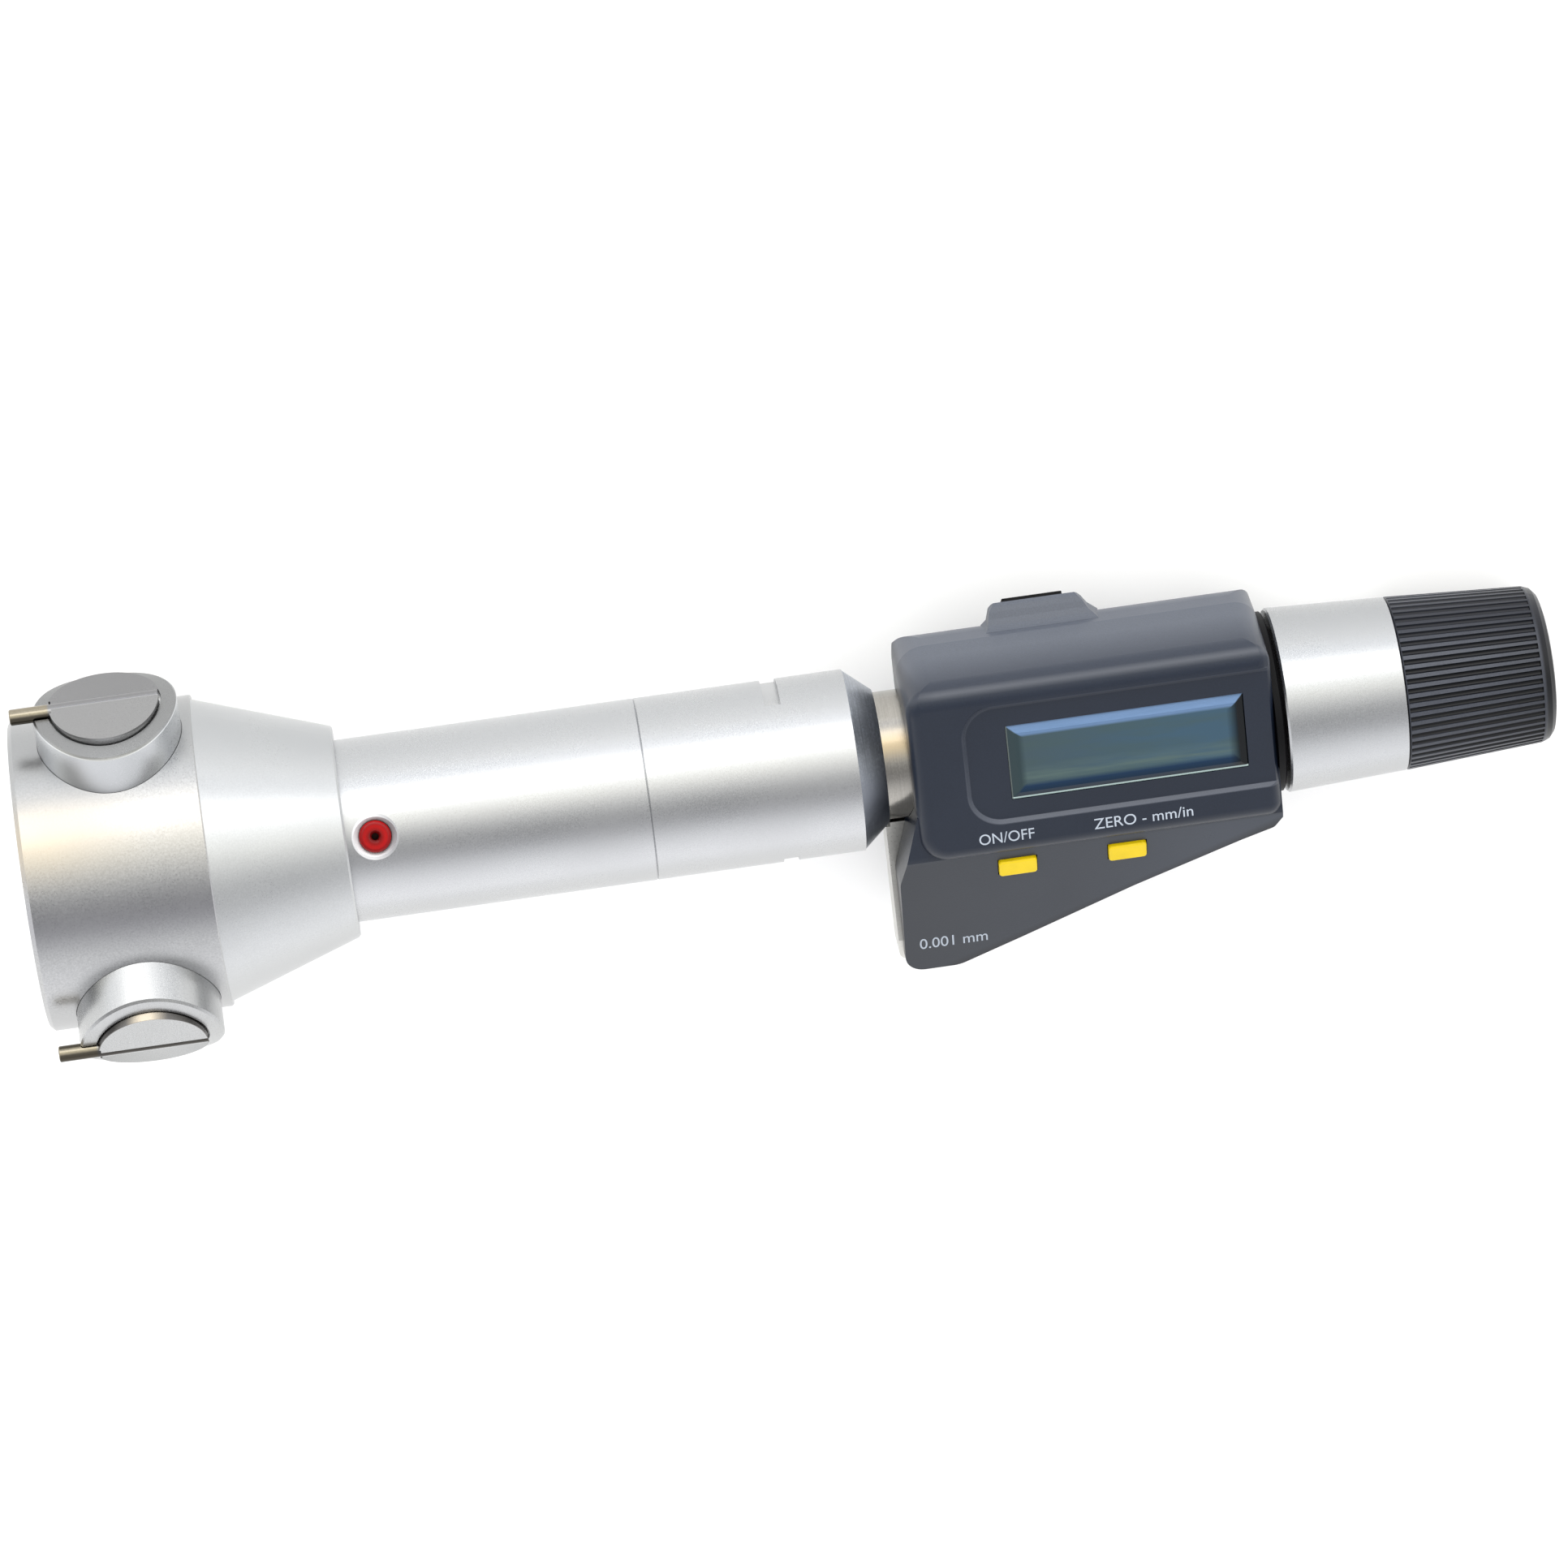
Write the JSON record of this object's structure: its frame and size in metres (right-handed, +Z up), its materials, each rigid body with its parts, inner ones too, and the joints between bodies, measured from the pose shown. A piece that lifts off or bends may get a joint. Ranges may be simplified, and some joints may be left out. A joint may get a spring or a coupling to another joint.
{
  "type": "three-point inside micrometer",
  "caption": "Digital three-point inside micrometer: bore-measuring head with radial anvils, tapered stem, display housing with keys, thimble and fluted ratchet grip.",
  "frame": {"origin": "centre of the bounding box at table height", "axes": "+X along the instrument from the measuring head to the ratchet grip, +Z up, out of the display, +Y towards the top edge of the display"},
  "size_m": [0.192, 0.0544, 0.0478],
  "materials": {
    "satin_steel": "satin ground",
    "ground_steel": "hardened, ground",
    "carbide": "ground carbide",
    "dark_collar": "dark anodised, turned",
    "shell": "fine grained moulding",
    "black_plastic": "matt",
    "grip_plastic": "fluted moulding",
    "lens": "polished",
    "display": "display glass",
    "board": "lacquered",
    "yellow_key": "smooth",
    "red_seal": "smooth",
    "pad_rubber": "matt",
    "brass": "turned"
  },
  "bodies": {
    "frame": {"head_body": "satin_steel", "head_screws": "satin_steel", "cone_adapter": "satin_steel", "rod_guide_front": "brass", "barrel_front": "satin_steel", "setting_screw": "satin_steel", "red_seal": "red_seal", "barrel_rear": "satin_steel", "rod_guide_rear": "brass", "end_collar": "dark_collar", "neck_sleeve": "satin_steel", "housing_front": "shell", "housing_back": "shell", "housing_screws": "satin_steel", "display_lens": "lens", "display_module": "display", "display_connector": "pad_rubber", "circuit_board": "board", "button_pad": "pad_rubber", "data_connector": "black_plastic", "battery": "satin_steel", "carrier_frame": "satin_steel", "encoder_stator": "board", "rear_sleeve": "satin_steel", "spindle_nut": "brass", "guide_sleeve": "black_plastic", "dust_ring": "black_plastic"},
    "feed": {"actuating_cone": "ground_steel", "push_rod": "ground_steel"},
    "spindle_and_thimble": {"spindle": "satin_steel", "swivel_ring": "satin_steel", "thimble": "satin_steel", "ratchet_wheel": "ground_steel", "shoulder_screw": "satin_steel"},
    "ratchet_grip": {"ratchet_grip": "grip_plastic", "grip_end_cap": "grip_plastic", "pawl_ring": "ground_steel", "ratchet_spring": "satin_steel"},
    "encoder_rotor": {"encoder_rotor": "board"},
    "anvil_upper": {"anvil_upper": "ground_steel", "carbide_pin_upper": "carbide"},
    "anvil_side": {"anvil_side": "ground_steel", "carbide_pin_side": "carbide"},
    "anvil_lower": {"anvil_lower": "ground_steel", "carbide_pin_lower": "carbide"},
    "button_left": {"button_left": "yellow_key"},
    "button_right": {"button_right": "yellow_key"},
    "data_port_cover": {"data_port_cover": "black_plastic"},
    "battery_cap": {"battery_cap": "shell"}
  },
  "joints": [
    {"name": "cone_feed", "type": "slide", "parent": "frame", "child": "feed", "axis": [0.9967, 0, -0.0814], "range_m": [0, 0.0073]},
    {"name": "thimble_spin", "type": "hinge", "parent": "feed", "child": "spindle_and_thimble", "pos_m": [0.00518, 0.00224, 0.01789], "axis": [0.9967, 0, -0.0814], "range_deg": [0, 5256]},
    {"name": "ratchet_slip", "type": "hinge", "parent": "spindle_and_thimble", "child": "ratchet_grip", "pos_m": [0.00518, 0.00224, 0.01789], "axis": [0.9967, 0, -0.0814], "continuous": true},
    {"name": "encoder_spin", "type": "hinge", "parent": "frame", "child": "encoder_rotor", "pos_m": [0.00518, 0.00224, 0.01789], "axis": [0.9967, 0, -0.0814], "range_deg": [0, 5256]},
    {"name": "anvil_upper_slide", "type": "slide", "parent": "frame", "child": "anvil_upper", "axis": [0.0148, 0.9833, 0.1816], "range_m": [-0.00365, 0]},
    {"name": "anvil_side_slide", "type": "slide", "parent": "frame", "child": "anvil_side", "axis": [0.0619, -0.6494, 0.7579], "range_m": [-0.00365, 0]},
    {"name": "anvil_lower_slide", "type": "slide", "parent": "frame", "child": "anvil_lower", "axis": [-0.0767, -0.3338, -0.9395], "range_m": [-0.00365, 0]},
    {"name": "button_left_press", "type": "slide", "parent": "frame", "child": "button_left", "axis": [-0.0754, 0.3746, -0.9241], "range_m": [0, 0.0004], "stiffness_N_per_m": 3000, "springref_m": -0.0002},
    {"name": "button_right_press", "type": "slide", "parent": "frame", "child": "button_right", "axis": [-0.0754, 0.3746, -0.9241], "range_m": [0, 0.0004], "stiffness_N_per_m": 3000, "springref_m": -0.0002},
    {"name": "data_port_cover_pull", "type": "slide", "parent": "frame", "child": "data_port_cover", "axis": [-0.0431, 0.848, -0.5282], "range_m": [0, 0.0035]},
    {"name": "battery_cap_turn", "type": "hinge", "parent": "frame", "child": "battery_cap", "pos_m": [0.02762, -0.01436, 0.00402], "axis": [0.0814, 0, 0.9967], "range_deg": [0, 60]}
  ],
  "couplings": [
    {"joint": "thimble_spin", "follows": "cone_feed", "rad_per_m": 12566},
    {"joint": "encoder_spin", "follows": "cone_feed", "rad_per_m": 12566},
    {"joint": "anvil_upper_slide", "follows": "cone_feed", "ratio": -0.5},
    {"joint": "anvil_side_slide", "follows": "cone_feed", "ratio": -0.5},
    {"joint": "anvil_lower_slide", "follows": "cone_feed", "ratio": -0.5}
  ]
}
